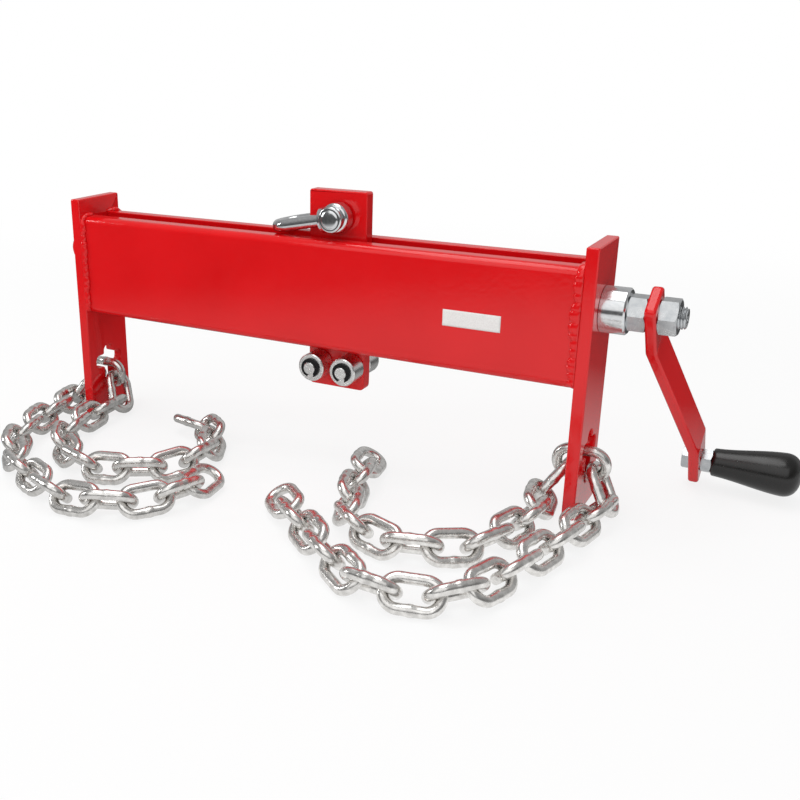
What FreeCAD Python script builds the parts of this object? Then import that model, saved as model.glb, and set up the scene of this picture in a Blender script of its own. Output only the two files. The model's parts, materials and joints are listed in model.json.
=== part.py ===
import FreeCAD, Part
import math
import os
import re

import Sketcher
from FreeCAD import Placement, Rotation, Vector

# Engine load leveler: a slotted beam of two channels between two end plates, a lead screw
# with a crank that moves a lifting plate along the slot, and a chain through each end plate.
# X runs along the beam, Y to the back, Z up. The origin is on the floor, midway between the
# two end plates.

os.makedirs("parts", exist_ok=True)
doc = FreeCAD.newDocument("LoadLeveler")
sheet = doc.addObject("Spreadsheet::Sheet", "Sizes")

SIZES = {
    # End plates
    "span": 450,  # between the inner faces of the two plates
    "plate_thick": 9.5,
    "plate_wide": 55,
    "plate_high": 204,
    "plate_round": 1.5,
    # Beam of two channels
    "beam_deep": 50,
    "beam_bottom": 100.5,
    "beam_high": 88.5,
    "beam_wall": 5,
    "beam_round": 6,
    "beam_slot": 20.4,
    "weld_leg": 4.5,
    # Cross shaped chain hole
    "hole_arms": 36,
    "hole_arm_high": 12,
    "hole_arm_level": 50,
    "hole_wide": 13,
    "hole_bottom": 22,
    "hole_top": 64,
    "hole_round": 5,
    "hole_inner_round": 2,
    # Clearances
    "run_clear": 0.05,  # between a journal and its bore, on the radius
    "seat_clear": 0.03,  # between pieces that are fixed to each other, on the radius
    "face_gap": 0.3,  # between faces that turn past each other
    # Lead screw and its bearings
    "screw_level": 156.4,
    "screw_wide": 16,
    "screw_point": 1.2,
    "screw_past_nut": 5,
    "journal_wide": 14,
    "cap_wide": 26,
    "cap_long": 17,
    "cap_floor": 4,
    "cap_round": 3,
    "stop_wide": 26,
    "stop_long": 10,
    "collar_wide": 33.7,
    "collar_long": 18,
    "collar_bevel": 1.2,
    "nut_flats": 24,
    "nut_high": 13,
    # Crank
    "crank_lean": 33,  # degrees that the hanging arm swings to the back
    "crank_radius": 160,
    "arm_thick": 8,
    "arm_wide": 28,
    "arm_head": 16,
    "arm_upper_bend": 27,
    "arm_flat": 24,  # from the lower bend to the handle bolt
    "arm_offset": 29.5,
    "arm_foot": 15,
    "arm_round": 4,
    "arm_bend_round": 6,
    "bolt_wide": 10,
    "bolt_flats": 16,
    "bolt_head": 6.4,
    "bolt_nut_flats": 17,
    "bolt_nut_high": 8,
    "grip_base": 22,
    "grip_wide": 33.8,
    "grip_straight": 18,  # of the full width, its dome included
    "grip_long": 64,
    "grip_dome": 13,
    "grip_bore_long": 44,
    # Lifting plate and its carriage
    "lift_place": 23,  # where the middle of the lifting plate stands along the beam
    "lift_wide": 51,
    "lift_thick": 10.8,
    "lift_past_pin": 20.2,  # from the shackle pin to the top
    "lift_bottom": 64.3,
    "lift_round": 4,
    "lift_top_round": 2,
    "drive_nut_wide": 30,
    "drive_nut_high": 30,
    "axle_wide": 10,
    "axle_apart": 28.7,
    "axle_level": 83.5,
    "axle_proud": 2,
    "roller_wide": 23,
    "roller_long": 17.4,
    "roller_bevel": 0.8,
    "clip_wide": 16,
    "clip_thick": 1.2,
    "clip_groove": 0.5,
    "clip_mouth": 6,
    # Shackle
    "shackle_wire": 10,
    "shackle_jaw": 16,
    "shackle_long": 59,  # from the pin to the middle of the crown's bar
    "shackle_across": 2.5,  # how far the pin stands from the plate's middle
    "eye_above_beam": 4.8,
    "eye_wide": 24,
    "eye_thick": 10.4,
    "eye_round": 3,
    "eye_collar_wide": 20,
    "eye_collar_thick": 3,
    "pin_wide": 11,
    "pin_head_wide": 17,
    "pin_head_high": 4,
    "pin_proud": 1.2,
    # Chain
    "chain_wire": 8,
    "chain_pitch": 29.2,  # inside length of a link
    "chain_inside": 12.5,  # inside width of a link
    "chain_slack": 0.9,
    "chain_plate_gap": 0.8,
    "chain_rise": 1.6,  # how far the end of a lying link stands above its lowest
    "chain_out": 34,  # degrees that a hanging link leans away from its plate
    "chain_front": 31,  # degrees that it leans to the front
}

for row, (alias, number) in enumerate(SIZES.items(), 1):
    sheet.set(f"A{row}", alias)
    sheet.set(f"B{row}", str(number))
    sheet.setAlias(f"B{row}", alias)
doc.recompute()


def size(alias):
    return float(sheet.get(alias))


def bound(text):
    """An expression in the sheet's cells, from one in plain size names."""
    return re.sub(r"[a-z_]+", lambda found: "Sizes." + found[0] if found[0] in SIZES else found[0], text)


# Building blocks

NEAR_SHARE = 1e-6
FULL_TURN = 360
HALF_TURN = 180


def new_body(name):
    body = doc.addObject("PartDesign::Body", name)
    body.Label = name
    return body


def new_sketch(body, role):
    sketch = body.newObject("Sketcher::SketchObject", body.Label + "_sketch")
    plane = next(item for item in body.Origin.OriginFeatures if item.Role == role)
    sketch.AttachmentSupport = [(plane, "")]
    sketch.MapMode = "FlatFace"
    return sketch


def hold(sketch, kind, across, up, point):
    """Fixes a point of the sketch at a place given by two expressions."""
    for axis, text in (("DistanceX", across), ("DistanceY", up)):
        index = sketch.addConstraint(Sketcher.Constraint(axis, -1, 1, kind, point, 1))
        sketch.setExpression(f"Constraints[{index}]", bound(text))


def outline(body, role, corners):
    """A closed outline whose corners are pairs of expressions."""
    sketch = new_sketch(body, role)
    count = len(corners)
    ring = [Vector(1, 0, 0)]
    for index in range(count):
        angle = 2 * math.pi * (index + 1) / count
        ring.append(Vector(math.cos(angle), math.sin(angle), 0))
        sketch.addGeometry(Part.LineSegment(ring[index], ring[index + 1]), False)
    for index in range(count):
        sketch.addConstraint(Sketcher.Constraint("Coincident", index, 2, (index + 1) % count, 1))
    for index, (across, up) in enumerate(corners):
        hold(sketch, index, across, up, 1)
    doc.recompute()
    return sketch


def disc(body, role, across, up, radius):
    """A circle, its middle and radius given by expressions."""
    sketch = new_sketch(body, role)
    sketch.addGeometry(Part.Circle(Vector(), Vector(0, 0, 1), 1), False)
    hold(sketch, 0, across, up, 3)
    index = sketch.addConstraint(Sketcher.Constraint("Radius", 0, 1))
    sketch.setExpression(f"Constraints[{index}]", bound(radius))
    doc.recompute()
    return sketch


def pad(body, sketch, length, both_ways=False):
    feature = body.newObject("PartDesign::Pad", body.Label + "_pad")
    feature.Profile = sketch
    feature.setExpression("Length", bound(length))
    feature.Midplane = both_ways
    doc.recompute()


def bore(body, sketch):
    """Cuts the sketch right through the body, and makes sure that it cut."""
    before = body.Shape.Volume
    feature = body.newObject("PartDesign::Pocket", body.Label + "_hole")
    feature.Profile = sketch
    feature.Type = "ThroughAll"
    feature.Midplane = True
    doc.recompute()
    assert body.Shape.Volume < before, body.Label


def rounded(body, sketch, corners, radius):
    """Rounds the edges that rise from the named corners of the sketch."""
    places = [sketch.Placement.multVec(sketch.Geometry[index].StartPoint) for index in corners]
    along = sketch.Placement.Rotation.multVec(Vector(0, 0, 1))
    base = body.Tip
    near = base.Shape.BoundBox.DiagonalLength * NEAR_SHARE
    names = []
    for number, edge in enumerate(base.Shape.Edges, 1):
        first = edge.Vertexes[0].Point
        second = edge.Vertexes[-1].Point
        if (second - first).cross(along).Length > near or (second - first).Length < near:
            continue
        if any((first - place).cross(along).Length < near for place in places):
            names.append(f"Edge{number}")
    round_edges(body, names, radius)


def round_edges(body, names, radius):
    base = body.Tip
    feature = body.newObject("PartDesign::Fillet", body.Label + "_round")
    feature.Base = (base, names)
    feature.setExpression("Radius", bound(radius))
    doc.recompute()


def turned(name, corners):
    """A body of revolution about X, from (along, radius) corners."""
    body = new_body(name)
    sketch = outline(body, "XZ_Plane", corners)
    feature = body.newObject("PartDesign::Revolution", name + "_turn")
    feature.Profile = sketch
    feature.ReferenceAxis = (sketch, ["H_Axis"])
    feature.Angle = FULL_TURN
    doc.recompute()
    return body


def place(thing, along="0", across="0", up="0", turn=None):
    """Puts a sub-part at a place given by expressions, turned by a rotation."""
    if turn is not None:
        thing.Placement = Placement(Vector(), turn)
    for axis, text in (("x", along), ("y", across), ("z", up)):
        if text != "0":
            thing.setExpression("Placement.Base." + axis, bound(text))
    doc.recompute()
    return thing


def solids(name, shapes):
    """A sub-part of one shape, or of several separate solids."""
    feature = doc.addObject("Part::Feature", name)
    feature.Label = name
    feature.Shape = shapes[0] if len(shapes) == 1 else Part.makeCompound(shapes)
    return feature


HEX_SIDES = 6
ABOUT_X = Vector(1, 0, 0)
ABOUT_Y = Vector(0, 1, 0)
ABOUT_Z = Vector(0, 0, 1)


def hexagon(body, flats):
    """A hexagon across the X axis with one corner to the front."""
    corners = []
    for index in range(HEX_SIDES):
        angle = FULL_TURN / HEX_SIDES * index
        corners.append((f"({flats})/2/cos(30)*cos({angle})", f"({flats})/2/cos(30)*sin({angle})"))
    return outline(body, "YZ_Plane", corners)


def bevelled_hex(body, flats, height):
    """Turns off the corners of a hexagon at its two ends."""
    corner = f"({flats})/2/cos(30)"
    edge = f"({flats})/2"
    slope = f"(({corner}) - ({edge}))*tan(30)"
    for near, far in (("0", slope), (height, f"({height}) - {slope}")):
        sketch = outline(body, "XZ_Plane", [(near, edge), (near, corner), (far, corner)])
        before = body.Shape.Volume
        feature = body.newObject("PartDesign::Groove", body.Label + "_bevel")
        feature.Profile = sketch
        feature.ReferenceAxis = (sketch, ["H_Axis"])
        feature.Angle = FULL_TURN
        doc.recompute()
        assert body.Shape.Volume < before, body.Label


def hex_nut(name, flats, height, hole):
    body = new_body(name)
    pad(body, hexagon(body, flats), height)
    bevelled_hex(body, flats, height)
    bore(body, disc(body, "YZ_Plane", "0", "0", hole))
    return body


# Places along the beam
INNER = "span/2"
OUTER = "span/2 + plate_thick"
COLLAR_AT = f"{OUTER} + face_gap"
NUT_AT = f"{COLLAR_AT} + collar_long"
ARM_AT = f"{NUT_AT} + nut_high"
OUTER_NUT_AT = f"{ARM_AT} + arm_thick"
SCREW_END = f"{OUTER_NUT_AT} + nut_high + screw_past_nut"

parts = []


# End plates with their cross shaped chain holes

def end_plate(name, along, hole):
    body = new_body(name)
    sheet_outline = outline(body, "YZ_Plane", [
        ("-plate_wide/2", "0"),
        ("plate_wide/2", "0"),
        ("plate_wide/2", "plate_high"),
        ("-plate_wide/2", "plate_high"),
    ])
    pad(body, sheet_outline, "plate_thick")
    rounded(body, sheet_outline, range(4), "plate_round")
    low = "hole_arm_level - hole_arm_high/2"
    high = "hole_arm_level + hole_arm_high/2"
    right_half = [
        ("hole_wide/2", "hole_bottom"),
        ("hole_wide/2", low),
        ("hole_arms/2", low),
        ("hole_arms/2", high),
        ("hole_wide/2", high),
        ("hole_wide/2", "hole_top"),
    ]
    left_half = [("-" + across, up) for across, up in reversed(right_half)]
    cross = outline(body, "YZ_Plane", right_half + left_half)
    bore(body, cross)
    rounded(body, cross, (0, 2, 3, 5, 6, 8, 9, 11), "hole_round")
    rounded(body, cross, (1, 4, 7, 10), "hole_inner_round")
    bore(body, disc(body, "YZ_Plane", "0", "screw_level", hole))
    return place(body, along)


parts.append(end_plate("left_end_plate", f"-({OUTER})", "journal_wide/2 + run_clear"))
parts.append(end_plate("right_end_plate", INNER, "screw_wide/2 + run_clear"))


# Two channels that face each other across the slot

def channel(name, side):
    body = new_body(name)
    face = f"{side}beam_deep/2"
    web = f"{side}(beam_deep/2 - beam_wall)"
    lip = f"{side}beam_slot/2"
    top = "beam_bottom + beam_high"
    section = outline(body, "YZ_Plane", [
        (face, "beam_bottom"),
        (lip, "beam_bottom"),
        (lip, "beam_bottom + beam_wall"),
        (web, "beam_bottom + beam_wall"),
        (web, f"{top} - beam_wall"),
        (lip, f"{top} - beam_wall"),
        (lip, top),
        (face, top),
    ])
    pad(body, section, "span")
    rounded(body, section, (0, 7), "beam_round")
    rounded(body, section, (3, 4), "beam_round - beam_wall")
    return place(body, "-span/2")


parts.append(channel("front_channel", "-"))
parts.append(channel("rear_channel", ""))


# Weld beads where the channels meet the end plates

def weld_beads(name, side):
    """Four beads of one end: up the front and rear faces, and across the two top lips."""
    inner = side * size("span") / 2
    inward = inner - side * size("weld_leg")
    low = size("beam_bottom") + size("beam_round")
    high = size("beam_bottom") + size("beam_high")
    rise = high - size("beam_round") - low
    beads = []
    for sign in (-1, 1):
        face = sign * size("beam_deep") / 2
        edge = sign * size("plate_wide") / 2
        lip = sign * size("beam_slot") / 2
        corners = [Vector(inner, face, low), Vector(inward, face, low), Vector(inner, edge, low)]
        beads.append(Part.Face(Part.makePolygon(corners, True)).extrude(Vector(0, 0, rise)))
        corners = [
            Vector(inner, lip, high),
            Vector(inward, lip, high),
            Vector(inner, lip, high + size("weld_leg")),
        ]
        reach = Vector(0, face - sign * size("beam_round") - lip, 0)
        beads.append(Part.Face(Part.makePolygon(corners, True)).extrude(reach))
    return solids(name, beads)


parts.append(weld_beads("left_weld_beads", -1))
parts.append(weld_beads("right_weld_beads", 1))


# Lead screw, its bearings and what is fixed on it

cap = turned("left_bearing_cap", [
    ("0", "journal_wide/2 + run_clear"),
    ("0", "cap_wide/2"),
    ("-cap_long + cap_round", "cap_wide/2"),
    ("-cap_long", "cap_wide/2 - cap_round"),
    ("-cap_long", "0"),
    ("-cap_long + cap_floor", "0"),
    ("-cap_long + cap_floor", "journal_wide/2 + run_clear"),
])
parts.append(place(cap, f"-({OUTER})", up="screw_level"))

LEFT_END = f"-({OUTER}) - cap_long + cap_floor + face_gap"
SHOULDER = f"-({INNER}) + face_gap"
screw = turned("lead_screw", [
    (LEFT_END, "0"),
    (LEFT_END, "journal_wide/2"),
    (SHOULDER, "journal_wide/2"),
    (SHOULDER, "screw_wide/2"),
    (f"{SCREW_END} - screw_point", "screw_wide/2"),
    (SCREW_END, "screw_wide/2 - screw_point"),
    (SCREW_END, "0"),
])
parts.append(place(screw, up="screw_level"))

SCREW_SEAT = "screw_wide/2 + seat_clear"
stop = turned("stop_collar", [
    ("0", SCREW_SEAT),
    ("0", "stop_wide/2"),
    ("stop_long", "stop_wide/2"),
    ("stop_long", SCREW_SEAT),
])
parts.append(place(stop, f"{INNER} - face_gap - stop_long", up="screw_level"))

collar = turned("thrust_collar", [
    ("0", SCREW_SEAT),
    ("0", "collar_wide/2"),
    ("collar_long - collar_bevel", "collar_wide/2"),
    ("collar_long", "collar_wide/2 - collar_bevel"),
    ("collar_long", SCREW_SEAT),
])
parts.append(place(collar, COLLAR_AT, up="screw_level"))

for nut_name, nut_at in (("inner_crank_nut", NUT_AT), ("outer_crank_nut", OUTER_NUT_AT)):
    nut = hex_nut(nut_name, "nut_flats", "nut_high", SCREW_SEAT)
    parts.append(place(nut, nut_at, up="screw_level"))


# Crank arm, a flat bar bent outward between its two ends, with the turning grip at its foot

LEAN = Rotation(ABOUT_X, size("crank_lean"))
LOWER_BEND = "(crank_radius - arm_flat)"
ARM_SLANT = f"atan(arm_offset/({LOWER_BEND} - arm_upper_bend))"
BEND_SHIFT = f"arm_thick*tan({ARM_SLANT}/2)"
ARM_FOOT = "-crank_radius - arm_foot"
arm = new_body("crank_arm")
bar = outline(arm, "XZ_Plane", [
    ("0", "arm_head"),
    ("arm_thick", "arm_head"),
    ("arm_thick", f"-arm_upper_bend + {BEND_SHIFT}/2"),
    ("arm_thick + arm_offset", f"-{LOWER_BEND} + {BEND_SHIFT}/2"),
    ("arm_thick + arm_offset", ARM_FOOT),
    ("arm_offset", ARM_FOOT),
    ("arm_offset", f"-{LOWER_BEND} - {BEND_SHIFT}/2"),
    ("0", f"-arm_upper_bend - {BEND_SHIFT}/2"),
])
pad(arm, bar, "arm_wide", both_ways=True)
rounded(arm, bar, (2, 6), "arm_bend_round + arm_thick")
rounded(arm, bar, (3, 7), "arm_bend_round")
bore(arm, disc(arm, "YZ_Plane", "0", "0", SCREW_SEAT))
bore(arm, disc(arm, "YZ_Plane", "0", "-crank_radius", "bolt_wide/2 + seat_clear"))
corner_edges = []
ends = (size("arm_head"), -size("crank_radius") - size("arm_foot"))
for number, edge in enumerate(arm.Shape.Edges, 1):
    middle = edge.CenterOfMass
    level = edge.BoundBox.ZLength < edge.Length * NEAR_SHARE
    at_side = abs(abs(middle.y) - size("arm_wide") / 2) < edge.Length * NEAR_SHARE
    if level and at_side and any(abs(middle.z - end) < edge.Length * NEAR_SHARE for end in ends):
        corner_edges.append(f"Edge{number}")
round_edges(arm, corner_edges, "arm_round")
parts.append(place(arm, ARM_AT, up="screw_level", turn=LEAN))

HANDLE_ACROSS = "crank_radius*sin(crank_lean)"
HANDLE_UP = "screw_level - crank_radius*cos(crank_lean)"
BOLT_AT = f"{ARM_AT} + arm_offset"
BOLT_NUT_AT = f"{BOLT_AT} + arm_thick"
GRIP_AT = f"{BOLT_NUT_AT} + bolt_nut_high + face_gap"

bolt = new_body("handle_bolt")
pad(bolt, hexagon(bolt, "bolt_flats"), "bolt_head")
bevelled_hex(bolt, "bolt_flats", "bolt_head")
shank = disc(bolt, "YZ_Plane", "0", "0", "bolt_wide/2")
pad(bolt, shank, "bolt_head + arm_thick + bolt_nut_high + grip_bore_long")
parts.append(place(bolt, f"{BOLT_AT} - bolt_head", HANDLE_ACROSS, HANDLE_UP, LEAN))

bolt_nut = hex_nut("handle_nut", "bolt_nut_flats", "bolt_nut_high", "bolt_wide/2 + seat_clear")
parts.append(place(bolt_nut, BOLT_NUT_AT, HANDLE_ACROSS, HANDLE_UP, LEAN))

GRIP_BORE = "bolt_wide/2 + run_clear"
grip = turned("crank_grip", [
    ("0", GRIP_BORE),
    ("0", "grip_base/2"),
    ("grip_long - grip_straight", "grip_wide/2"),
    ("grip_long", "grip_wide/2"),
    ("grip_long", "0"),
    ("grip_bore_long", "0"),
    ("grip_bore_long", GRIP_BORE),
])
rim = []
for number, edge in enumerate(grip.Shape.Edges, 1):
    box = edge.BoundBox
    near = box.YLength * NEAR_SHARE
    if box.XLength < near and abs(box.XMin - size("grip_long")) < near:
        rim.append(f"Edge{number}")
round_edges(grip, rim, "grip_dome")
parts.append(place(grip, GRIP_AT, HANDLE_ACROSS, HANDLE_UP))


# Lifting plate in two lengths, welded above and below the nut that the screw drives

def carriage_plate(name, low, high, rounded_corners, radius, holes):
    body = new_body(name)
    blank = outline(body, "XZ_Plane", [
        ("-lift_wide/2", low),
        ("lift_wide/2", low),
        ("lift_wide/2", high),
        ("-lift_wide/2", high),
    ])
    pad(body, blank, "lift_thick", both_ways=True)
    rounded(body, blank, rounded_corners, radius)
    for across, up, hole in holes:
        bore(body, disc(body, "XZ_Plane", across, up, hole))
    return place(body, "lift_place")


PIN_LEVEL = "beam_bottom + beam_high + eye_above_beam + eye_wide/2"
pin_hole = ("shackle_across", PIN_LEVEL, "pin_wide/2 + run_clear")
parts.append(carriage_plate("upper_lifting_plate", "screw_level + drive_nut_high/2",
                            f"{PIN_LEVEL} + lift_past_pin", (2, 3), "lift_top_round", [pin_hole]))
axle_holes = [(f"{sign}axle_apart/2", "axle_level", "axle_wide/2 + seat_clear") for sign in ("-", "")]
parts.append(carriage_plate("lower_lifting_plate", "lift_bottom", "screw_level - drive_nut_high/2",
                            (0, 1), "lift_round", axle_holes))

drive_nut = new_body("travelling_nut")
block = outline(drive_nut, "YZ_Plane", [
    ("-drive_nut_wide/2", "-drive_nut_high/2"),
    ("drive_nut_wide/2", "-drive_nut_high/2"),
    ("drive_nut_wide/2", "drive_nut_high/2"),
    ("-drive_nut_wide/2", "drive_nut_high/2"),
])
pad(drive_nut, block, "lift_wide", both_ways=True)
bore(drive_nut, disc(drive_nut, "YZ_Plane", "0", "0", "screw_wide/2 + run_clear"))
parts.append(place(drive_nut, "lift_place", up="screw_level"))


# Rollers under the beam on two axles, held by spring clips

ROLLER_FROM = "lift_thick/2 + face_gap"
CLIP_FROM = f"{ROLLER_FROM} + roller_long + face_gap"
AXLE_END = f"{CLIP_FROM} + clip_thick + axle_proud"
TO_BACK = Rotation(ABOUT_Z, HALF_TURN / 2)
TO_FRONT = Rotation(ABOUT_Z, -HALF_TURN / 2)

for side_name, sign in (("left", "-"), ("right", "")):
    axle_at = f"lift_place {sign or '+'} axle_apart/2"
    half = [
        (CLIP_FROM, "axle_wide/2"),
        (CLIP_FROM, "axle_wide/2 - clip_groove"),
        (f"{CLIP_FROM} + clip_thick", "axle_wide/2 - clip_groove"),
        (f"{CLIP_FROM} + clip_thick", "axle_wide/2"),
        (f"{AXLE_END} - clip_groove", "axle_wide/2"),
        (AXLE_END, "axle_wide/2 - clip_groove"),
        (AXLE_END, "0"),
    ]
    other_half = [(f"-({along})", radius) for along, radius in reversed(half)]
    axle = turned(f"{side_name}_axle", other_half + half)
    parts.append(place(axle, axle_at, up="axle_level", turn=TO_BACK))
    for end_name, turn in (("front", TO_FRONT), ("rear", TO_BACK)):
        roller_end = f"{ROLLER_FROM} + roller_long"
        roller = turned(f"{end_name}_{side_name}_roller", [
            (ROLLER_FROM, "axle_wide/2 + run_clear"),
            (ROLLER_FROM, "roller_wide/2 - roller_bevel"),
            (f"{ROLLER_FROM} + roller_bevel", "roller_wide/2"),
            (f"{roller_end} - roller_bevel", "roller_wide/2"),
            (roller_end, "roller_wide/2 - roller_bevel"),
            (roller_end, "axle_wide/2 + run_clear"),
        ])
        parts.append(place(roller, axle_at, up="axle_level", turn=turn))


def spring_clips():
    """Open rings in the grooves at both ends of both axles, mouths down."""
    start = size("lift_thick") / 2 + 2 * size("face_gap") + size("roller_long")
    thick = size("clip_thick")
    seat = size("axle_wide") / 2 - size("clip_groove") + size("seat_clear")
    rings = []
    for side in (-1, 1):
        axle_at = size("lift_place") + side * size("axle_apart") / 2
        for back in (-1, 1):
            middle = Vector(axle_at, back * start, size("axle_level"))
            along = Vector(0, back, 0)
            ring = Part.makeCylinder(size("clip_wide") / 2, thick, middle, along)
            ring = ring.cut(Part.makeCylinder(seat, thick, middle, along))
            corner = middle + Vector(-size("clip_mouth") / 2, min(0, back * thick), -size("clip_wide"))
            rings.append(ring.cut(Part.makeBox(size("clip_mouth"), thick, size("clip_wide"), corner)))
    return solids("axle_clips", rings)


parts.append(spring_clips())


# Shackle lying on the beam, with its pin through the lifting plate

PIN_AT = "lift_place + shackle_across"


def bar_half_ring(radius, wire, middle):
    """Half a ring that closes a bow toward -X, in the XY plane."""
    start = Part.makeCircle(wire / 2, middle + Vector(0, radius, 0), ABOUT_X)
    return Part.Face(Part.Wire(start)).revolve(middle, ABOUT_Z, HALF_TURN)


def shackle_bow():
    wire = size("shackle_wire")
    leg = size("shackle_jaw") / 2 + size("eye_thick") / 2
    straight = size("shackle_long") - leg
    bow = bar_half_ring(leg, wire, Vector(-straight, 0, 0))
    eye = size("eye_wide") / 2
    pieces = []
    for side in (-1, 1):
        pieces.append(Part.makeCylinder(wire / 2, straight, Vector(-straight, side * leg, 0), ABOUT_X))
        base = Vector(0, side * leg - size("eye_thick") / 2, 0)
        boss = Part.makeCylinder(eye, size("eye_thick"), base, ABOUT_Y)
        outer = [edge for edge in boss.Edges if edge.BoundBox.YLength < eye * NEAR_SHARE
                 and abs(edge.BoundBox.YMin - side * (leg + size("eye_thick") / 2)) < eye * NEAR_SHARE]
        pieces.append(boss.makeFillet(size("eye_round"), outer))
        seat = Vector(-eye, side * leg, 0)
        flange = Part.makeCylinder(size("eye_collar_wide") / 2, size("eye_collar_thick"), seat, ABOUT_X)
        inner = side * size("shackle_jaw") / 2
        depth = size("eye_collar_wide")
        corner = Vector(-eye, min(inner, inner + side * depth), -depth)
        pieces.append(flange.common(Part.makeBox(eye, depth, 2 * depth, corner)))
    bow = bow.multiFuse(pieces)
    reach = 2 * leg + 2 * size("eye_thick")
    hole = size("pin_wide") / 2 + size("seat_clear")
    bore_tool = Part.makeCylinder(hole, reach, Vector(0, -reach / 2, 0), ABOUT_Y)
    return bow.cut(bore_tool).removeSplitter()


fall = size("eye_above_beam") + size("eye_wide") / 2 - size("face_gap") - size("shackle_wire") / 2
DROOP = Rotation(ABOUT_Y, -math.degrees(math.asin(fall / size("shackle_long"))))
bow = solids("shackle_bow", [shackle_bow()])
parts.append(place(bow, PIN_AT, up=PIN_LEVEL, turn=DROOP))

PIN_END = "shackle_jaw/2 + eye_thick"
pin = turned("shackle_pin", [
    (f"-({PIN_END}) - pin_proud", "0"),
    (f"-({PIN_END}) - pin_proud", "pin_wide/2 - pin_proud"),
    (f"-({PIN_END})", "pin_wide/2"),
    (PIN_END, "pin_wide/2"),
    (PIN_END, "pin_head_wide/2"),
    (f"{PIN_END} + pin_head_high - pin_proud", "pin_head_wide/2"),
    (f"{PIN_END} + pin_head_high", "pin_head_wide/2 - pin_proud"),
    (f"{PIN_END} + pin_head_high", "0"),
])
parts.append(place(pin, PIN_AT, up=PIN_LEVEL, turn=TO_BACK))


# Chains: one link stands in each plate's hole, and two legs hang from it and lie on the floor

LINK_MIDDLE = (size("chain_inside") + size("chain_wire")) / 2
LINK_HALF = (size("chain_pitch") + size("chain_wire")) / 2
LINK_STEP = size("chain_pitch") - size("chain_slack")
SLOT_LINK_LEVEL = size("hole_bottom") + size("face_gap") + LINK_MIDDLE + size("chain_wire") / 2

# Degrees that a lying link's width leans from level, one way and the other in turn
FIRST_ROLL = 40
LYING_ROLL = 45
LAST_ROLL = 30
UPRIGHT_ROLL = 90

# Each leg's course over the floor: the degrees that its first lying link heads from the front
# toward the right, and its bends, each as a count of links and the degrees that every one turns
COURSES = {
    "right_outer": (-8, ((5, -2), (4, -27), (4, -2))),
    "right_inner": (8, ((3, -11), (5, -27), (3, -3))),
    "left_inner": (0, ((2, 8), (3, 20), (7, 26))),
    "left_outer": (8, ((3, 4), (3, 14), (2, 5), (5, 23))),
}
# The courses suit a span of so many links, and open or close with another span
SPAN_IN_LINKS = 15.9
HANGING_LINKS = 2
LEG_SEGMENTS = 3
PITCH_ROUNDS = 20


def link_solid():
    """A link along X in the XY plane, its middle at the origin."""
    wire = size("chain_wire")
    straight = LINK_HALF - LINK_MIDDLE
    left = bar_half_ring(LINK_MIDDLE, wire, Vector(-straight, 0, 0))
    right = left.mirror(Vector(), ABOUT_X)
    sides = []
    for side in (-1, 1):
        start = Vector(-straight, side * LINK_MIDDLE, 0)
        sides.append(Part.makeCylinder(wire / 2, 2 * straight, start, ABOUT_X))
    return left.multiFuse([right] + sides)


LINK = link_solid()


def link_width(along, roll):
    """The direction of a link's width, from the link's direction and its roll."""
    side = ABOUT_Z.cross(along).normalize()
    upward = along.cross(side)
    angle = math.radians(roll)
    return side * math.cos(angle) + upward * math.sin(angle)


def set_link(middle, along, width):
    link = LINK.copy()
    link.Placement = Placement(middle, Rotation(along, width, Vector(), "XYZ"))
    return link


def next_start(end, width, next_along, next_width):
    """The middle of the bar at the start of a link that hooks over the bar at a link's end."""
    apart = width.cross(next_width).normalize() * (size("chain_wire") + size("chain_slack"))
    return end - apart if apart.dot(next_along) > 0 else end + apart


def lying_direction(end, width, heading, roll):
    """The direction that brings a link's end down near the floor, and that of its width."""
    opened = size("span") / (SPAN_IN_LINKS * LINK_STEP)
    angle = math.radians(heading)
    angle = math.atan2(opened * math.sin(angle), math.cos(angle))
    flat = LINK_MIDDLE * abs(math.sin(math.radians(roll))) + size("chain_wire") / 2
    pitch = 0
    for _ in range(PITCH_ROUNDS):
        level = math.cos(pitch)
        along = Vector(level * math.sin(angle), -level * math.cos(angle), math.sin(pitch))
        next_width = link_width(along, roll)
        start = next_start(end, width, along, next_width)
        pitch = math.asin((flat + size("chain_rise") - start.z) / (2 * LINK_HALF))
    return along, next_width


def leg_headings(name):
    """The heading of every lying link of one leg."""
    first, bends = COURSES[name]
    headings = [first]
    for count, bend in bends:
        for _ in range(count):
            headings.append(headings[-1] + bend)
    return headings


def leg_links(name):
    """The links of one leg, and the place between the two bars where each link is hooked."""
    side = 1 if name.startswith("right") else -1
    away = side if name.endswith("outer") else -side
    plate_middle = side * (size("span") + size("plate_thick")) / 2
    off = size("plate_thick") / 2 + size("chain_plate_gap") + size("chain_wire") / 2
    end = Vector(plate_middle + away * off, 0, SLOT_LINK_LEVEL - LINK_MIDDLE)
    width = ABOUT_X
    out = math.tan(math.radians(size("chain_out")))
    front = math.tan(math.radians(size("chain_front")))
    along = Vector(away * out, -front, -1).normalize()
    next_width = (ABOUT_Y - along * ABOUT_Y.dot(along)).normalize()
    links = []
    hooks = [end]
    headings = leg_headings(name)
    roll = away * FIRST_ROLL
    for index in range(len(headings) + 1):
        start = next_start(end, width, along, next_width)
        hooks.append((start + end) / 2)
        links.append(set_link(start + along * LINK_HALF, along, next_width))
        end = start + along * (2 * LINK_HALF)
        width = next_width
        if index < len(headings):
            if index == len(headings) - 1:
                roll = math.copysign(LAST_ROLL, roll)
            along, next_width = lying_direction(end, width, headings[index], roll)
            roll = -math.copysign(LYING_ROLL, roll)
    return links, hooks, start


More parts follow.
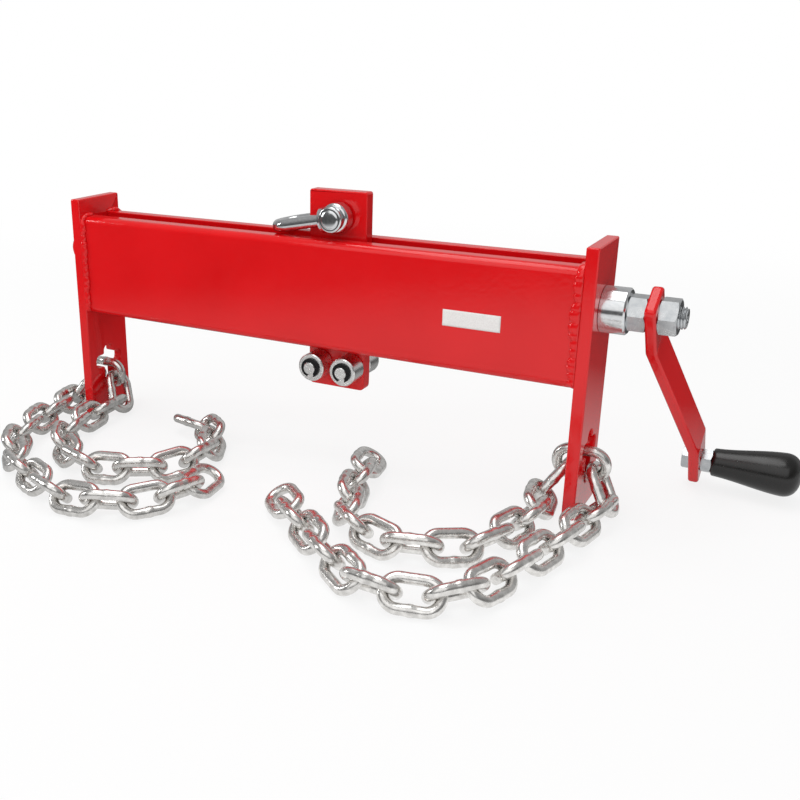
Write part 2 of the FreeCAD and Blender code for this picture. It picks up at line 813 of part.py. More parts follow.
for side_name, side in (("left", -1), ("right", 1)):
    middle = Vector(side * (size("span") + size("plate_thick")) / 2, 0, SLOT_LINK_LEVEL)
    upright = link_width(ABOUT_X, UPRIGHT_ROLL)
    parts.append(solids(f"{side_name}_slot_link", [set_link(middle, ABOUT_X, upright)]))

for leg_name in COURSES:
    leg, hooks, last_start = leg_links(leg_name)
    parts.append(solids(f"{leg_name}_hanging_links", leg[:HANGING_LINKS]))
    print("pivot", leg_name, 0, *(round(value, 4) for value in hooks[0]))
    lying = len(leg) - HANGING_LINKS
    for number in range(LEG_SEGMENTS):
        first = HANGING_LINKS + round(lying * number / LEG_SEGMENTS)
        after = HANGING_LINKS + round(lying * (number + 1) / LEG_SEGMENTS)
        parts.append(solids(f"{leg_name}_chain_{number + 1}", leg[first:after]))
        print("pivot", leg_name, number + 1, *(round(value, 4) for value in hooks[first + 1]))
    middle = leg[-1].BoundBox.Center
    print("last link", leg_name, *(round(value, 3) for value in middle), "from",
          *(round(value, 3) for value in last_start))


# Every sub-part is checked, then written to its own file

doc.recompute()
for thing in doc.Objects:
    assert not {"Invalid", "Error"} & set(thing.State), (thing.Label, thing.State)
for thing in parts:
    shape = thing.Shape
    assert not shape.isNull() and shape.isValid() and shape.Volume > 0, thing.Label
for thing in parts:
    thing.Shape.exportStep(f"parts/{thing.Label}.step")
    box = thing.Shape.BoundBox
    print(thing.Label, len(thing.Shape.Solids), "x", round(box.XMin, 2), round(box.XMax, 2),
          "y", round(box.YMin, 2), round(box.YMax, 2), "z", round(box.ZMin, 2), round(box.ZMax, 2))
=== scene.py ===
import json
import math
import random

import bmesh
import bpy
import numpy as np
from mathutils import Matrix, Vector


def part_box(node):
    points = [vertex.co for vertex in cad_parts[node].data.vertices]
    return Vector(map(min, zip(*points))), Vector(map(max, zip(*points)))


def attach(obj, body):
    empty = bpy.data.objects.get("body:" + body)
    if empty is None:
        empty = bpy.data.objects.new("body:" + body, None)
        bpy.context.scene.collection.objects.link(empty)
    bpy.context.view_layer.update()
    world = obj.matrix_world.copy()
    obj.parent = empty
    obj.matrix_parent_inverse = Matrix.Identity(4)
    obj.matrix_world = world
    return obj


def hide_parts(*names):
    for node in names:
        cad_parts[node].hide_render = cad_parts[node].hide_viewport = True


# Engine load leveler in its shipping pose: beam, crank and lifting plate standing on two end
# plates, with four chain legs spread on the floor in front.

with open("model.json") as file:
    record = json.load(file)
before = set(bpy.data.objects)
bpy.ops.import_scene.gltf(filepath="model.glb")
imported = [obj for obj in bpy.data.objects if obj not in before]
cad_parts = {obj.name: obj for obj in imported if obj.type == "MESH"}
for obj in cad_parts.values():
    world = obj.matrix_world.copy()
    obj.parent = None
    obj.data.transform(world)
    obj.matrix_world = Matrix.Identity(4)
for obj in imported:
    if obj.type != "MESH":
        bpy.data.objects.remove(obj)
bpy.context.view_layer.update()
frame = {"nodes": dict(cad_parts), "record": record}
nodes = frame["nodes"]
record = frame["record"]
scene = bpy.context.scene
SEED = 7
chance = random.Random(SEED)
MM = 0.001
FULL_TURN = 2 * math.pi


# Materials

RAMP_PLACES = (0.3, 0.7)


def srgb(hex_code):
    """A hex colour as the linear colour that a shader takes."""
    shares = [int(hex_code[k:k + 2], 16) / 255 for k in (1, 3, 5)]
    return [s / 12.92 if s <= 0.04045 else ((s + 0.055) / 1.055) ** 2.4 for s in shares] + [1.0]


def per_metre(size_mm):
    """A pattern's scale from the real size of one of its marks."""
    return 1 / (size_mm * MM)


def add(tree, kind, inputs=None, colours=(), **settings):
    """One node with its settings. An input is a plain value or an output to link to it, and a
    ramp runs between two hex colours."""
    made = tree.nodes.new(kind)
    for name, value in settings.items():
        setattr(made, name, value)
    for name, value in (inputs or {}).items():
        if isinstance(value, bpy.types.NodeSocket):
            tree.links.new(value, made.inputs[name])
        else:
            made.inputs[name].default_value = value
    for number, hex_code in enumerate(colours):
        stop = made.color_ramp.elements[number]
        stop.position = RAMP_PLACES[number]
        stop.color = srgb(hex_code)
    return made


def bare_material(name):
    """A material without nodes, its tree, and the place on the object in metres."""
    material = bpy.data.materials.new(name)
    material.use_nodes = True
    tree = material.node_tree
    tree.nodes.clear()
    return material, tree, add(tree, "ShaderNodeTexCoord").outputs["Object"]


def sprayed_red_enamel():
    # Gloss alkyd enamel sprayed on steel: a deep wet red, thicker and thinner in slow clouds,
    # with the fine orange peel that breaks up the edges of each reflection.
    material, tree, where = bare_material("sprayed_red_enamel")
    clouds = add(tree, "ShaderNodeTexNoise", {"Vector": where, "Scale": per_metre(70), "Detail": 2.0})
    coat = add(tree, "ShaderNodeValToRGB", {"Fac": clouds.outputs["Fac"]}, ("#D40B10", "#DE1016"))
    dust = add(tree, "ShaderNodeTexNoise", {"Vector": where, "Scale": per_metre(9), "Detail": 3.0})
    gloss = add(tree, "ShaderNodeMapRange", {"Value": dust.outputs["Fac"], "To Min": 0.06, "To Max": 0.16})
    peel = add(tree, "ShaderNodeTexNoise", {"Vector": where, "Scale": per_metre(3.2), "Detail": 1.0})
    waves = add(tree, "ShaderNodeBump", {
        "Height": peel.outputs["Fac"],
        "Strength": 0.1,
        "Distance": 0.5 * MM,
    })
    paint = add(tree, "ShaderNodeBsdfPrincipled", {
        "Base Color": coat.outputs["Color"],
        "Roughness": gloss.outputs["Result"],
        "IOR": 1.5,
        "Normal": waves.outputs["Normal"],
    })
    add(tree, "ShaderNodeOutputMaterial", {"Surface": paint.outputs["BSDF"]})
    return material


def bright_zinc():
    # Electroplated zinc on turned and forged steel: a bluish white metal with a soft gloss and
    # faint clouds from the plating bath.
    material, tree, where = bare_material("bright_zinc_plate")
    bath = add(tree, "ShaderNodeTexNoise", {"Vector": where, "Scale": per_metre(6), "Detail": 4.0})
    plate = add(tree, "ShaderNodeValToRGB", {"Fac": bath.outputs["Fac"]}, ("#B4B7BA", "#CDCFD0"))
    gloss = add(tree, "ShaderNodeMapRange", {"Value": bath.outputs["Fac"], "To Min": 0.16, "To Max": 0.34})
    grit = add(tree, "ShaderNodeTexNoise", {"Vector": where, "Scale": per_metre(0.9), "Detail": 2.0})
    skin = add(tree, "ShaderNodeBump", {
        "Height": grit.outputs["Fac"],
        "Strength": 0.16,
        "Distance": 0.1 * MM,
    })
    metal = add(tree, "ShaderNodeBsdfPrincipled", {
        "Base Color": plate.outputs["Color"],
        "Metallic": 1.0,
        "Roughness": gloss.outputs["Result"],
        "Normal": skin.outputs["Normal"],
    })
    add(tree, "ShaderNodeOutputMaterial", {"Surface": metal.outputs["BSDF"]})
    return material


def polished_chrome():
    # Bright chrome plate on turned and forged steel: a near mirror with faint clouds in its gloss.
    material, tree, where = bare_material("polished_chrome")
    clouds = add(tree, "ShaderNodeTexNoise", {"Vector": where, "Scale": per_metre(2), "Detail": 3.0})
    plate = add(tree, "ShaderNodeValToRGB", {"Fac": clouds.outputs["Fac"]}, ("#D4D6D8", "#E2E3E4"))
    gloss = add(tree, "ShaderNodeMapRange", {"Value": clouds.outputs["Fac"], "To Min": 0.12, "To Max": 0.22})
    metal = add(tree, "ShaderNodeBsdfPrincipled", {
        "Base Color": plate.outputs["Color"],
        "Metallic": 1.0,
        "Roughness": gloss.outputs["Result"],
    })
    add(tree, "ShaderNodeOutputMaterial", {"Surface": metal.outputs["BSDF"]})
    return material


def turned_steel():
    # Bar steel turned to size: pale and satin, with a fine grain drawn coarser than life so that
    # it shows.
    material, tree, where = bare_material("turned_steel")
    grain = add(tree, "ShaderNodeTexNoise", {"Vector": where, "Scale": per_metre(1.2), "Detail": 2.0})
    steel = add(tree, "ShaderNodeValToRGB", {"Fac": grain.outputs["Fac"]}, ("#E2E2E1", "#EEEEED"))
    gloss = add(tree, "ShaderNodeMapRange", {"Value": grain.outputs["Fac"], "To Min": 0.2, "To Max": 0.36})
    metal = add(tree, "ShaderNodeBsdfPrincipled", {
        "Base Color": steel.outputs["Color"],
        "Metallic": 1.0,
        "Roughness": gloss.outputs["Result"],
    })
    add(tree, "ShaderNodeOutputMaterial", {"Surface": metal.outputs["BSDF"]})
    return material


def galvanised_chain():
    # Tumbled galvanised links: warm grey zinc with a rumpled skin, bright where links rub and
    # dull in the hollows.
    material, tree, where = bare_material("galvanised_chain")
    lumps = add(tree, "ShaderNodeTexNoise", {"Vector": where, "Scale": per_metre(4.5), "Detail": 3.0})
    zinc = add(tree, "ShaderNodeValToRGB", {"Fac": lumps.outputs["Fac"]}, ("#CBC9C6", "#F2F0ED"))
    gloss = add(tree, "ShaderNodeMapRange", {"Value": lumps.outputs["Fac"], "To Min": 0.34, "To Max": 0.18})
    grains = add(tree, "ShaderNodeTexNoise", {"Vector": where, "Scale": per_metre(1.1), "Detail": 2.0})
    rumple = add(tree, "ShaderNodeBump", {
        "Height": lumps.outputs["Fac"],
        "Strength": 0.35,
        "Distance": 0.4 * MM,
    })
    skin = add(tree, "ShaderNodeBump", {
        "Height": grains.outputs["Fac"],
        "Strength": 0.12,
        "Distance": 0.15 * MM,
        "Normal": rumple.outputs["Normal"],
    })
    metal = add(tree, "ShaderNodeBsdfPrincipled", {
        "Base Color": zinc.outputs["Color"],
        "Metallic": 1.0,
        "Roughness": gloss.outputs["Result"],
        "Normal": skin.outputs["Normal"],
    })
    add(tree, "ShaderNodeOutputMaterial", {"Surface": metal.outputs["BSDF"]})
    return material


def blued_spring_steel():
    # Heat treated spring steel under oil: almost black, with a dull sheen on its edges.
    material, tree, where = bare_material("blued_spring_steel")
    scale = add(tree, "ShaderNodeTexNoise", {"Vector": where, "Scale": per_metre(1.5), "Detail": 2.0})
    blue = add(tree, "ShaderNodeValToRGB", {"Fac": scale.outputs["Fac"]}, ("#151516", "#2A2A2C"))
    gloss = add(tree, "ShaderNodeMapRange", {"Value": scale.outputs["Fac"], "To Min": 0.32, "To Max": 0.5})
    metal = add(tree, "ShaderNodeBsdfPrincipled", {
        "Base Color": blue.outputs["Color"],
        "Metallic": 0.7,
        "Roughness": gloss.outputs["Result"],
    })
    add(tree, "ShaderNodeOutputMaterial", {"Surface": metal.outputs["BSDF"]})
    return material


def moulded_black_plastic():
    # Moulded phenolic grip: a warm black with a wet gloss, slight sink waves and rubbed patches.
    material, tree, where = bare_material("moulded_black_plastic")
    rubs = add(tree, "ShaderNodeTexNoise", {"Vector": where, "Scale": per_metre(11), "Detail": 4.0})
    black = add(tree, "ShaderNodeValToRGB", {"Fac": rubs.outputs["Fac"]}, ("#080706", "#13100F"))
    gloss = add(tree, "ShaderNodeMapRange", {"Value": rubs.outputs["Fac"], "To Min": 0.18, "To Max": 0.38})
    sinks = add(tree, "ShaderNodeTexNoise", {"Vector": where, "Scale": per_metre(8), "Detail": 1.0})
    waves = add(tree, "ShaderNodeBump", {
        "Height": sinks.outputs["Fac"],
        "Strength": 0.12,
        "Distance": 0.4 * MM,
    })
    plastic = add(tree, "ShaderNodeBsdfPrincipled", {
        "Base Color": black.outputs["Color"],
        "Roughness": gloss.outputs["Result"],
        "IOR": 1.55,
        "Normal": waves.outputs["Normal"],
    })
    add(tree, "ShaderNodeOutputMaterial", {"Surface": plastic.outputs["BSDF"]})
    return material


def label_paper():
    # Coated label paper: off white and matt, with a faint fibre.
    material, tree, where = bare_material("coated_label_paper")
    fibre = add(tree, "ShaderNodeTexNoise", {"Vector": where, "Scale": per_metre(0.8), "Detail": 4.0})
    white = add(tree, "ShaderNodeValToRGB", {"Fac": fibre.outputs["Fac"]}, ("#E2DFDD", "#EFEDEB"))
    paper = add(tree, "ShaderNodeBsdfPrincipled", {"Base Color": white.outputs["Color"], "Roughness": 0.55})
    add(tree, "ShaderNodeOutputMaterial", {"Surface": paper.outputs["BSDF"]})
    return material


ENAMEL = sprayed_red_enamel()
ZINC = bright_zinc()
CHROME = polished_chrome()
STEEL = turned_steel()
CHAIN = galvanised_chain()
BLUED = blued_spring_steel()
PLASTIC = moulded_black_plastic()
PAPER = label_paper()

SLOT_FINISH = {
    "red_enamel": ENAMEL,
    "zinc": ZINC,
    "galvanised_chain": CHAIN,
    "black_spring_steel": BLUED,
    "black_plastic": PLASTIC,
}
OWN_FINISH = {
    "thrust_collar": CHROME,
    "front_left_roller": STEEL,
    "rear_left_roller": STEEL,
    "front_right_roller": STEEL,
    "rear_right_roller": STEEL,
    "left_axle": STEEL,
    "right_axle": STEEL,
    "shackle_bow": CHROME,
}
slot_of = {part["node"]: part["material_slot"] for part in record["subparts"]}
body_of = {node: body for body, members in record["behaviour"]["bodies"].items() for node in members}
for name, node in nodes.items():
    node.data.materials.clear()
    node.data.materials.append(OWN_FINISH.get(name, SLOT_FINISH[slot_of[name]]))


# Making pieces

def outward(mesh):
    """Turns every face of a mesh to its outside."""
    work = bmesh.new()
    work.from_mesh(mesh)
    bmesh.ops.recalc_face_normals(work, faces=work.faces)
    work.to_mesh(mesh)
    work.free()


def piece(name, vertices, faces, finish, body, replaced=()):
    """A new smooth mesh that rides on a body and stands for the named nodes."""
    mesh = bpy.data.meshes.new(name)
    mesh.from_pydata([tuple(v) for v in vertices], [], faces)
    outward(mesh)
    made = bpy.data.objects.new(name, mesh)
    scene.collection.objects.link(made)
    mesh.materials.append(finish)
    for polygon in mesh.polygons:
        polygon.use_smooth = True
    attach(made, body)
    if replaced:
        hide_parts(*replaced)
    return made


def tube_faces(rings, around, first=0, closed=False):
    """Quads between rings of points, each ring closed on itself."""
    faces = []
    for ring in range(rings if closed else rings - 1):
        here = first + ring * around
        there = first + (ring + 1) % rings * around
        for k in range(around):
            after = (k + 1) % around
            faces.append((here + k, here + after, there + after, there + k))
    return faces


JOIN_WITHIN = 0.001 * MM
FLAT_WITHIN = math.radians(1)
SHARP_FROM = math.radians(40)
EDGE_SEGMENTS = 3


def soften_edges(name, width_mm):
    """Rounds the sharp edges of a solid as its coat of paint or plating does."""
    node = nodes[name]
    weld = node.modifiers.new("joined", "WELD")
    weld.merge_threshold = JOIN_WITHIN
    flat = node.modifiers.new("flat_faces", "DECIMATE")
    flat.decimate_type = "DISSOLVE"
    flat.angle_limit = FLAT_WITHIN
    bevel = node.modifiers.new("soft_edges", "BEVEL")
    bevel.width = width_mm * MM
    bevel.segments = EDGE_SEGMENTS
    bevel.limit_method = "ANGLE"
    bevel.angle_limit = SHARP_FROM
    bevel.use_clamp_overlap = False
    bevel.harden_normals = True


def loose_solids(name):
    """The separate solids of a node, each as an array of its points."""
    work = bmesh.new()
    work.from_mesh(nodes[name].data)
    bmesh.ops.remove_doubles(work, verts=work.verts, dist=JOIN_WITHIN)
    seen = set()
    found = []
    for start in work.verts:
        if start in seen:
            continue
        seen.add(start)
        group = [start]
        for vertex in group:
            for edge in vertex.link_edges:
                other = edge.other_vert(vertex)
                if other not in seen:
                    seen.add(other)
                    group.append(other)
        found.append(np.array([v.co for v in group]))
    work.free()
    return found


def own_axes(points):
    """Middle of a link and its directions along, across and through, from its points."""
    mean = points.mean(0)
    directions = np.linalg.svd(points - mean, full_matrices=False)[2]
    if np.linalg.det(directions) < 0:
        directions[2] = -directions[2]
    spans = (points - mean) @ directions.T
    middle = mean + (spans.max(0) + spans.min(0)) / 2 @ directions
    return middle, directions


# Chain links of bent round wire, each with the swollen weld half way along one side

WIRE = 4.0 * MM
BEND = 10.25 * MM
STRAIGHT = 16.7 * MM
WELD_SWELL = 0.11
WELD_REACH = 2.4 * MM
WELD_FLASH = 0.07
FLASH_PLACE = 0.4 * WELD_REACH
FLASH_REACH = 0.25 * WELD_REACH
DRAWN_WIRE = 0.985
UNEVEN = 0.007
UNEVEN_WAVES = 3
LINK_RINGS = 72
WIRE_SIDES = 18
WELDS_FACE = np.array([0.3, -0.8, 0.5])


def link_walk(walk):
    """Middle of the wire and its way outward, some way round a link from half along a side."""
    arc = math.pi * BEND
    start = (walk + STRAIGHT / 2) % (2 * (STRAIGHT + arc))
    half = 1
    if start >= STRAIGHT + arc:
        start -= STRAIGHT + arc
        half = -1
    if start < STRAIGHT:
        out = np.array([0, -1.0, 0])
        return half * np.array([start - STRAIGHT / 2, -BEND, 0]), half * out
    turn = (start - STRAIGHT) / BEND
    out = np.array([math.sin(turn), -math.cos(turn), 0])
    return half * (np.array([STRAIGHT / 2, 0, 0]) + BEND * out), half * out


def link_points(weld_turned):
    """One link about its own middle: along, across and through."""
    whole = 2 * (STRAIGHT + math.pi * BEND)
    flash_angle = chance.uniform(0, FULL_TURN)
    waves = [chance.uniform(-UNEVEN, UNEVEN) for _ in range(UNEVEN_WAVES)]
    through = np.array([0, 0, 1.0])
    points = []
    for ring in range(LINK_RINGS):
        walk = whole * ring / LINK_RINGS
        centre, out = link_walk(walk)
        from_weld = min(walk, whole - walk)
        swell = WELD_SWELL * math.exp(-(from_weld / WELD_REACH) ** 2)
        flash = WELD_FLASH * math.exp(-((from_weld - FLASH_PLACE) / FLASH_REACH) ** 2)
        for side in range(WIRE_SIDES):
            angle = FULL_TURN * side / WIRE_SIDES
            uneven = 0
            for number, wave in enumerate(waves, 1):
                uneven += wave * math.sin(number * FULL_TURN * walk / whole + angle)
            radius = WIRE * (DRAWN_WIRE + uneven + swell + flash * max(0, math.cos(angle - flash_angle)))
            points.append(centre + radius * (math.cos(angle) * out + math.sin(angle) * through))
    points = np.array(points)
    if weld_turned:
        points = points * np.array([-1, -1, 1])
    return points


def chain_piece(name):
    """The links of one node, each laid where its solid is."""
    vertices = []
    faces = []
    for solid in loose_solids(name):
        middle, directions = own_axes(solid)
        first = len(vertices)
        vertices.extend(middle + link_points(directions[1] @ WELDS_FACE > 0) @ directions)
        faces.extend(tube_faces(LINK_RINGS, WIRE_SIDES, first, closed=True))
    piece(f"{name}_wire", vertices, faces, CHAIN, body_of[name], [name])


for name in sorted(nodes):
    if slot_of[name] == "galvanised_chain":
        chain_piece(name)


# Lead screw with its right hand thread

THREAD_STEP = 2.0 * MM
THREAD_DEPTH = 1.25 * MM
THREAD_FLANK = 0.34
THREAD_CREST = 0.16
THREAD_SIDES = 36
JOURNAL = 7.0 * MM
JOURNAL_BEVEL = 0.5 * MM
JOURNAL_PAST_PLATE = 0.3 * MM
SCREW_POINT = 1.2 * MM
THREAD_JOIN = 0.01 * MM


def lead_screw_thread():
    low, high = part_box("lead_screw")
    level = (low.z + high.z) / 2
    top = (high.z - low.z) / 2
    root = top - THREAD_DEPTH
    journal_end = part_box("left_end_plate")[1].x + JOURNAL_PAST_PLATE
    form = (
        (0, root),
        (THREAD_FLANK, top),
        (THREAD_FLANK + THREAD_CREST, top),
        (2 * THREAD_FLANK + THREAD_CREST, root),
    )
    turns = math.ceil((high.x - journal_end) / THREAD_STEP) + 1
    rows = turns * len(form)
    vertices = []
    faces = []

    def on_screw(along, radius, share):
        angle = FULL_TURN * share
        vertices.append((along, -radius * math.sin(angle), level + radius * math.cos(angle)))

    for side in range(THREAD_SIDES + 1):
        share = side / THREAD_SIDES
        for turn in range(turns):
            for part, radius in form:
                along = journal_end + (turn - 1 + part + share) * THREAD_STEP
                along = min(max(along, journal_end), high.x)
                on_screw(along, min(radius, top - SCREW_POINT + high.x - along), share)
    for side in range(THREAD_SIDES):
        for row in range(rows - 1):
            here = side * rows + row
            faces.append((here, here + 1, here + rows + 1, here + rows))
    ends = (
        (low.x, JOURNAL - JOURNAL_BEVEL),
        (low.x + JOURNAL_BEVEL, JOURNAL),
        (journal_end, JOURNAL),
        (journal_end, root),
        (high.x, top - SCREW_POINT),
    )
    first = len(vertices)
    for along, radius in ends:
        for side in range(THREAD_SIDES):
            on_screw(along, radius, side / THREAD_SIDES)
    faces.extend(tube_faces(len(ends) - 1, THREAD_SIDES, first))
    tip = len(vertices) - THREAD_SIDES
    faces.append(tuple(range(first, first + THREAD_SIDES)))
    faces.append(tuple(range(tip, tip + THREAD_SIDES)))
    screw = piece("threaded_lead_screw", vertices, faces, ZINC, "screw", ["lead_screw"])
    joined = screw.modifiers.new("thread_joined", "WELD")
    joined.merge_threshold = THREAD_JOIN


lead_screw_thread()


# Weld beads, laid as a row of overlapping drops from the slot over the corner and down the face

DROP_STEP = 6.4 * MM
DROP_UNEVEN = 0.35
DROP_SWELL = (0.7, 1.2)
BEAD_STEP = 0.6 * MM
BEAD_ARC = 10
LEFT_BEAD_REACH = 4.4 * MM
RIGHT_BEAD_REACH = 6.4 * MM
BEAD_DEPTH = 2.8 * MM
BEAD_FULL = 0.12
BEAD_ROOT = 0.6 * MM
BEAD_TAPER = 3.5 * MM
LEAST_TAPER = 0.03
STEADY_DEPTH = 1 / 3
END_STEEPNESS = 3
LAP_LOW = 0.84
LAP_RISE = 0.24
LAP_LEAN = 0.8
CORNER_ROUND = 6.0 * MM


def bead_path(channel):
    """Points across and up along the outside of a channel's end, each with its way outward."""
    low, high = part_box(channel)
    front = low.y < 0
    sign = -1 if front else 1
    face = abs(low.y if front else high.y)
    lip = abs(high.y if front else low.y)
    over = face - CORNER_ROUND - lip
    arc = CORNER_ROUND * math.pi / 2
    down = high.z - low.z - 2 * CORNER_ROUND
    whole = over + arc + down + arc / 2
    count = round(whole / BEAD_STEP)
    path = []
    for step in range(count + 1):
        walk = whole * step / count
        if walk < over:
            across, up, turn = lip + walk, high.z, 0.0
        elif walk < over + arc:
            turn = (walk - over) / CORNER_ROUND
            across = face - CORNER_ROUND + CORNER_ROUND * math.sin(turn)
            up = high.z - CORNER_ROUND + CORNER_ROUND * math.cos(turn)
        elif walk < over + arc + down:
            across, up, turn = face, high.z - CORNER_ROUND - (walk - over - arc), math.pi / 2
        else:
            turn = math.pi / 2 + (walk - over - arc - down) / CORNER_ROUND
            across = face - CORNER_ROUND + CORNER_ROUND * math.sin(turn)
            up = low.z + CORNER_ROUND + CORNER_ROUND * math.cos(turn)
        path.append((walk, sign * across, up, sign * math.sin(turn), math.cos(turn)))
    return path, whole


def bead_mesh(channel, plate_x, reach, vertices, faces):
    """One bead in the corner between an end plate and a channel."""
    path, whole = bead_path(channel)
    inward = math.copysign(1, reach)
    first = len(vertices)
    edges = [0.0]
    while edges[-1] < whole + DROP_STEP:
        edges.append(edges[-1] + DROP_STEP * chance.uniform(1 - DROP_UNEVEN, 1 + DROP_UNEVEN))
    swells = [chance.uniform(*DROP_SWELL) for _ in edges]
    drop = 0
    for walk, across, up, out_y, out_z in path:
        while edges[drop + 1] <= walk:
            drop += 1
        part = (walk - edges[drop]) / (edges[drop + 1] - edges[drop])
        swell = swells[drop] * (1 - part) + swells[drop + 1] * part
        lap = LAP_LOW + LAP_RISE * math.sin(math.pi * part ** LAP_LEAN) ** LAP_LEAN
        taper = math.sqrt(min(1.0, max(LEAST_TAPER, min(walk, whole - walk) / BEAD_TAPER)))
        size = swell * lap * taper
        steady = STEADY_DEPTH + (1 - STEADY_DEPTH) * size
        depth = BEAD_DEPTH * steady * min(1.0, END_STEEPNESS * taper)
        for k in range(BEAD_ARC + 1):
            turn = math.pi / 2 * k / BEAD_ARC
            full = 1 + BEAD_FULL * math.sin(2 * turn)
            out = depth * full * math.sin(turn)
            along = plate_x + reach * size * full * math.cos(turn)
            vertices.append((along, across + out_y * out, up + out_z * out))
        vertices.append((plate_x - inward * BEAD_ROOT, across - out_y * BEAD_ROOT, up - out_z * BEAD_ROOT))
    around = BEAD_ARC + 2
    last = first + (len(path) - 1) * around
    faces.extend(tube_faces(len(path), around, first))
    faces.append(tuple(range(first, first + around)))
    faces.append(tuple(range(last, last + around)))


def weld_piece(name, plate_x, reach):
    vertices = []
    faces = []
    for channel in ("front_channel", "rear_channel"):
        bead_mesh(channel, plate_x, reach, vertices, faces)
    piece(f"{name}_laid", vertices, faces, ENAMEL, "frame", [name])


weld_piece("left_weld_beads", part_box("left_end_plate")[1].x, LEFT_BEAD_REACH)
weld_piece("right_weld_beads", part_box("right_end_plate")[0].x, -RIGHT_BEAD_REACH)


# Grip turned about the crank bolt, with the moulding's parting line down both sides

GRIP_SIDES = 128
GRIP_BASE = 11.0 * MM
GRIP_WIDEST = 16.9 * MM
GRIP_RIM = 0.8 * MM
GRIP_MOUTH = 5.1 * MM
GRIP_TAPER_STEPS = 16
GRIP_TAPER_EVEN = 0.35
GRIP_DOME = 13.0 * MM
GRIP_DOME_STEPS = 14
GRIP_DOME_POWER = 2.4
GRIP_TIP = 0.2 * MM
PARTING = 0.22 * MM
PARTING_WIDE = 0.7 * MM


def grip_profile(long):
    """Places along the grip with its radius there, from its mouth to its tip."""
    profile = [(0.0, GRIP_MOUTH), (0.0, GRIP_BASE - GRIP_RIM)]
    taper = long - GRIP_DOME
    for step in range(GRIP_TAPER_STEPS + 1):
        share = step / GRIP_TAPER_STEPS
        swell = GRIP_TAPER_EVEN * share + (1 - GRIP_TAPER_EVEN) * share ** 2 * (3 - 2 * share)
        along = GRIP_RIM + (taper - GRIP_RIM) * share
        profile.append((along, GRIP_BASE + (GRIP_WIDEST - GRIP_BASE) * swell))
    for step in range(1, GRIP_DOME_STEPS + 1):
        share = math.sin(math.pi / 2 * step / GRIP_DOME_STEPS)
        radius = GRIP_WIDEST * (1 - share ** GRIP_DOME_POWER) ** (1 / GRIP_DOME_POWER)
        profile.append((taper + GRIP_DOME * share, max(radius, GRIP_TIP)))
    return profile


def grip_piece():
    low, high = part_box("crank_grip")
    middle_y = (low.y + high.y) / 2
    middle_z = (low.z + high.z) / 2
    profile = grip_profile(high.x - low.x)
    vertices = []
    for along, radius in profile:
        for side in range(GRIP_SIDES):
            angle = FULL_TURN * side / GRIP_SIDES
            from_line = abs(math.sin(angle)) * radius
            ridge = PARTING * math.exp(-(from_line / PARTING_WIDE) ** 2) if radius > GRIP_BASE else 0.0
            reach = radius + ridge
            across = middle_y + reach * math.sin(angle)
            up = middle_z + reach * math.cos(angle)
            vertices.append((low.x + along, across, up))
    faces = tube_faces(len(profile), GRIP_SIDES)
    last = (len(profile) - 1) * GRIP_SIDES
    faces.append(tuple(range(last, last + GRIP_SIDES)))
    piece("moulded_grip", vertices, faces, PLASTIC, "grip", ["crank_grip"])


grip_piece()


# Shackle pin with a riveted, domed end over the front eye

PIN_SIDES = 64
PIN = 5.5 * MM
PIN_HEAD = 8.5 * MM
PIN_HEAD_BEVEL = 1.2 * MM
RIVET = 10.4 * MM
RIVET_HIGH = 2.6 * MM
RIVET_STEPS = 20
RIVET_MIDDLE = 0.03
RIVET_GROOVE = 0.5 * MM
GROOVE_PLACE = 0.72
GROOVE_REACH = 0.07


def domed_shackle_pin():
    low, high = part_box("shackle_pin")
    eye_low, eye_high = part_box("shackle_bow")
    middle_x = (low.x + high.x) / 2
    middle_z = (low.z + high.z) / 2
    profile = []
    for step in range(RIVET_STEPS + 1):
        share = max(step / RIVET_STEPS, RIVET_MIDDLE)
        groove = RIVET_GROOVE * math.exp(-((share - GROOVE_PLACE) / GROOVE_REACH) ** 2)
        high_here = RIVET_HIGH * math.sqrt(1 - share ** 2) - groove
        profile.append((eye_low.y - max(high_here, 0.0), RIVET * share))
    profile += [
        (eye_low.y, PIN),
        (eye_high.y, PIN),
        (eye_high.y, PIN_HEAD),
        (high.y - PIN_HEAD_BEVEL, PIN_HEAD),
        (high.y, PIN_HEAD - PIN_HEAD_BEVEL),
    ]
    vertices = []
    for along, radius in profile:
        for side in range(PIN_SIDES):
            angle = FULL_TURN * side / PIN_SIDES
            across = middle_x + radius * math.sin(angle)
            up = middle_z + radius * math.cos(angle)
            vertices.append((across, along, up))
    faces = tube_faces(len(profile), PIN_SIDES)
    last = (len(profile) - 1) * PIN_SIDES
    faces.append(tuple(range(PIN_SIDES)))
    faces.append(tuple(range(last, last + PIN_SIDES)))
    body = body_of["shackle_pin"]
    piece("domed_shackle_pin", vertices, faces, CHROME, body, ["shackle_pin"])


domed_shackle_pin()


# Blank label on the front of the beam

LABEL_LEFT = 122.6 * MM
LABEL_RIGHT = 167.8 * MM
LABEL_BOTTOM = 135.2 * MM
LABEL_TOP = 147.8 * MM
LABEL_BACK = 0.02 * MM
LABEL_FRONT = 0.14 * MM
LABEL_CURL = 0.05 * MM
LABEL_COLUMNS = 24
LABEL_ROWS = 8


